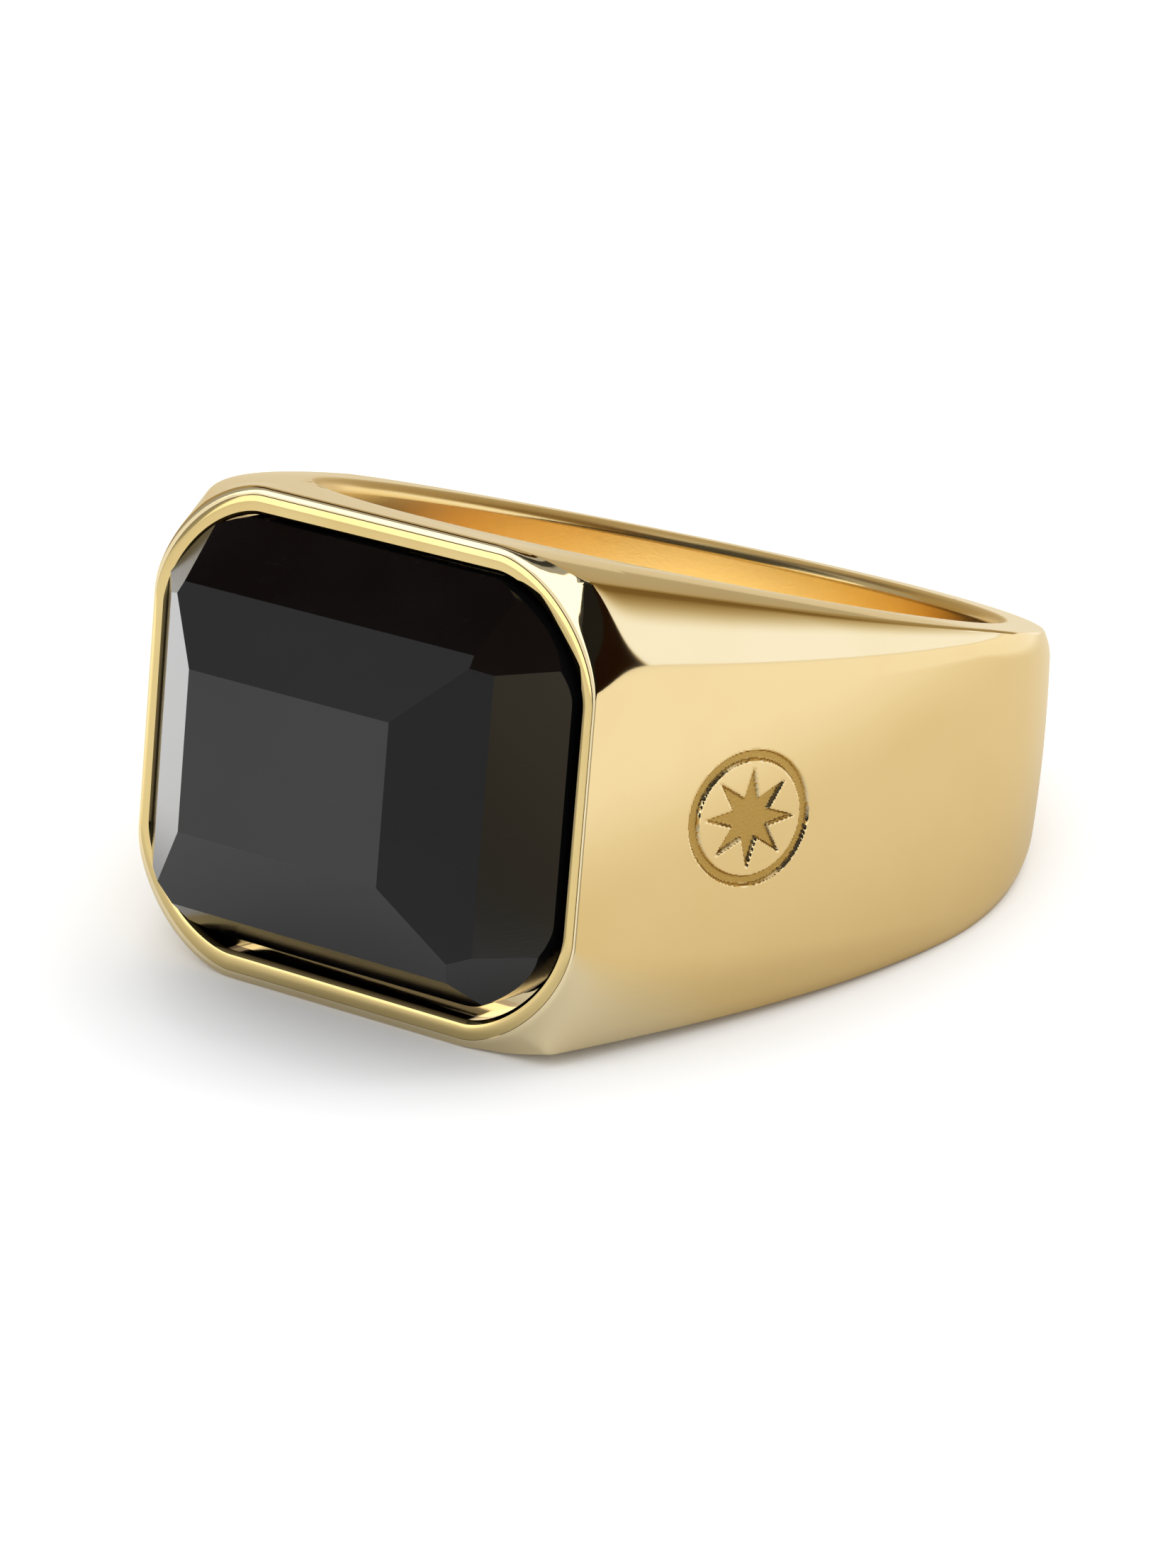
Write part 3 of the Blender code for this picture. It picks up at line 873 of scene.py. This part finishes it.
def compass(n, direction):
    """Angles of a direction in degrees: round from the front of the ring, 0 to 360, and up."""
    parts = n.add("SeparateXYZ", {0: direction}).outputs
    turn = n.math("ARCTAN2", parts["X"], n.times(parts["Y"], -1.0))
    around = n.math("FLOORED_MODULO", n.times(turn, math.degrees(1)), 360.0)
    up = n.times(n.math("ARCSINE", parts["Z"]), math.degrees(1))
    return around, up


def warmed(n, value, amount):
    """A grey as a colour, warmer where it is darker if amount is 1."""
    powers = []
    for power in WARM:
        exponent = n.plus(1.0, n.times(amount, power - 1))
        powers.append(n.math("POWER", value, exponent))
    joined = n.add("CombineColor", dict(zip(("Red", "Green", "Blue"), powers)))
    return joined.outputs["Color"]


def table(n, value, points):
    """Straight lines through (value, result) points, level beyond the ends."""
    result = points[0][1]
    for (start, before), (end, after) in zip(points, points[1:]):
        result = n.plus(result, n.ramp(value, start, end, 0.0, after - before, smooth=False))
    return result


def blend(n, factor, low, high):
    """low where factor is 0 and high where it is 1."""
    return n.plus(low, n.times(factor, n.math("SUBTRACT", high, low)))


def dimmed(n, value, mask, share):
    """A value made darker by a share of itself where the mask is 1."""
    return n.times(value, n.math("SUBTRACT", 1.0, n.times(mask, share)))


def sweep_light(n, around, up):
    """Brightness of the sweep, with the lit ceiling over it and a dark card high in front."""
    above = n.math("SUBTRACT", up, table(n, around, SWEEP_TOP))
    light = blend(n, n.ramp(above, *SWEEP_FALL), SWEEP_LIGHT, table(n, around, SWEEP_UPPER))
    light = n.brighter(light, n.times(n.ramp(up, *OVERHEAD), OVERHEAD_LIGHT))
    high_card = n.times(window(n, around, *HIGH_CARD_SIDES), window(n, up, *HIGH_CARD_RISE))
    return blend(n, high_card, light, HIGH_CARD_LEVEL)


def card_mask(n, around, up):
    """1 on the black card, which keeps its height on the left of its centre."""
    middle, level = CARD_CENTRE
    across = n.math("ABSOLUTE", n.math("SUBTRACT", around, middle))
    across = n.times(across, n.ramp(around, middle - 1, middle))
    rise = n.math("ABSOLUTE", n.math("SUBTRACT", up, level))
    powers = [
        n.math("POWER", n.math("DIVIDE", distance, CARD_SIZE), CARD_POWER)
        for distance in (across, rise)
    ]
    reach = n.plus(*powers)
    return n.times(n.fall(reach, 1 - CARD_SOFT, 1 + CARD_SOFT), n.fall(around, *CARD_RIGHT))


def other_lights(n, around, up):
    """Brightness of everything outside the sweep and the black card."""
    box = n.times(window(n, around, *FILL_SIDES), window(n, up, *FILL_RISE))
    pane = n.times(window(n, around, *WINDOW_SIDES), n.fall(up, *WINDOW_TOP))
    wall = n.times(window(n, around, *FRONT_LEFT_SIDES), n.fall(up, *FRONT_LEFT_TOP))
    light = n.brighter(n.times(box, FILL_LIGHT), n.times(pane, WINDOW_LIGHT))
    light = n.brighter(light, n.times(wall, FRONT_LEFT_LIGHT))
    return n.brighter(light, ROOM_LEVEL)


def room(n):
    """Colour of the studio as a polished surface reflects it."""
    around, up = compass(n, n.add("TexCoord").outputs["Generated"])
    beside_card = n.times(n.ramp(around, *SWEEP_START), n.fall(around, *CARD_RIGHT))
    in_sweep = n.brighter(window(n, around, *SWEEP_SIDES), beside_card)
    lit = blend(n, in_sweep, other_lights(n, around, up), sweep_light(n, around, up))
    lit = blend(n, card_mask(n, around, up), lit, CARD_LEVEL)
    return warmed(n, lit, window(n, around, *WARM_SIDES))


def mirrored_floor(n):
    """Colour of the floor as reflections see it: painted shade beside the ring, in front of the black
    card and far behind the ring, painted light inside the ring and in a patch to its left, and a
    painted warm reflection of the gold.
    """
    place = n.add("NewGeometry").outputs["Position"]
    distance = n.add("VectorMath", {0: place}, operation="LENGTH").outputs["Value"]
    outward = n.add("VectorMath", {0: place}, operation="NORMALIZE").outputs["Vector"]
    around, _ = compass(n, outward)
    light = n.ramp(distance, *FLOOR_CLEARS, FLOOR_SHADE, 1.0)
    light = n.brighter(light, n.ramp(distance, *INSIDE_RING, INSIDE_LIGHT, 0.0))
    card = n.times(n.fall(around, *CARD_FLOOR_SIDE), n.ramp(distance, *CARD_FLOOR_RUN))
    light = dimmed(n, light, card, CARD_ON_FLOOR)
    back = n.times(window(n, around, *BACK_FLOOR_SIDES), n.ramp(distance, *BACK_FLOOR_RUN))
    light = dimmed(n, light, back, BACK_OF_FLOOR)
    patch = n.times(window(n, around, *PATCH_SIDES), window(n, distance, *PATCH_RUN))
    light = n.times(blend(n, patch, light, PATCH_LIGHT), FLOOR_MIRRORED)
    return warmed(n, light, window(n, around, *FLOOR_WARM_SIDES))


def floor():
    """A white floor, which reflections see warmer and arranged in light and dark."""
    bpy.ops.mesh.primitive_plane_add(size=FLOOR_SIZE)
    sheet = bpy.context.object
    sheet.name = "floor"
    made, n = new_material("white_sheet")
    mirrored = n.add("LightPath").outputs["Is Glossy Ray"]
    colour = n.mix(mirrored, (1, 1, 1, 1), mirrored_floor(n))
    n.surface(n.add("BsdfDiffuse", {"Color": colour}))
    sheet.data.materials.append(made)


def world():
    """White for the camera and as soft light; reflections see the arranged studio."""
    made = bpy.data.worlds.new("studio")
    bpy.context.scene.world = made
    made.use_nodes = True
    n = Nodes(made.node_tree)
    mirrored = n.add("LightPath").outputs["Is Glossy Ray"]
    studio = n.add("Background", {"Color": room(n), "Strength": 1.0})
    white = n.add("Background", {"Color": (1, 1, 1, 1), "Strength": WHITE_STRENGTH})
    chosen = n.add("MixShader", {0: mirrored, 1: white.outputs[0], 2: studio.outputs[0]})
    n.add("OutputWorld", {"Surface": chosen.outputs[0]})


def towards(azimuth, elevation):
    """Unit vector from the ring, at an angle round from its front and an angle up."""
    level = math.cos(elevation)
    return Vector((math.sin(azimuth) * level, -math.cos(azimuth) * level, math.sin(elevation)))


def softbox():
    """One square soft light, facing the ring."""
    data = bpy.data.lights.new("back_box", "AREA")
    data.shape = "SQUARE"
    data.size = LIGHT_SIZE
    data.energy = LIGHT_POWER
    obj = bpy.data.objects.new("back_box", data)
    bpy.context.collection.objects.link(obj)
    out = towards(LIGHT_AZIMUTH, LIGHT_ELEVATION)
    obj.location = out * LIGHT_DISTANCE
    obj.rotation_euler = out.to_track_quat("Z", "Y").to_euler()
    obj.visible_glossy = False


def camera():
    back = towards(CAMERA_AZIMUTH, CAMERA_ELEVATION)
    level = Vector((0, 0, 1)).cross(back).normalized()
    upright = back.cross(level)
    right = level * math.cos(CAMERA_ROLL) + upright * math.sin(CAMERA_ROLL)
    up = back.cross(right)
    data = bpy.data.cameras.new("camera")
    data.sensor_fit = "HORIZONTAL"
    data.sensor_width = SENSOR_WIDTH
    data.lens = CAMERA_LENS
    data.clip_start = CLIP_START
    obj = bpy.data.objects.new("camera", data)
    bpy.context.collection.objects.link(obj)
    spot = (Vector(CAMERA_AIM) + back * CAMERA_DISTANCE) * MM
    turn = Matrix((right, up, back)).transposed().to_4x4()
    obj.matrix_world = Matrix.Translation(spot) @ turn
    bpy.context.scene.camera = obj


def main():
    for obj in list(bpy.data.objects):
        bpy.data.objects.remove(obj)
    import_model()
    place = row_place()
    body_gold = gold("polished_gold", GOLD_COLOURS)
    # the rim's gold is a darker copy of the body's, as painted shade
    shaded_rim_gold = gold("shaded_rim_gold", RIM_SHADED_COLOURS)
    finish_piece(ring_body(), place, body_gold, "ring_body")
    finish_piece(bezel_rim(), place, shaded_rim_gold, "bezel_rim")
    finish_piece(stone(), place, onyx(), "stone", sharp=FACET_SHARP)
    finish_piece(cement(), place, cement_look(), "setting_cement")
    floor()
    world()
    softbox()
    camera()
    bpy.context.scene.view_settings.view_transform = "Standard"


main()
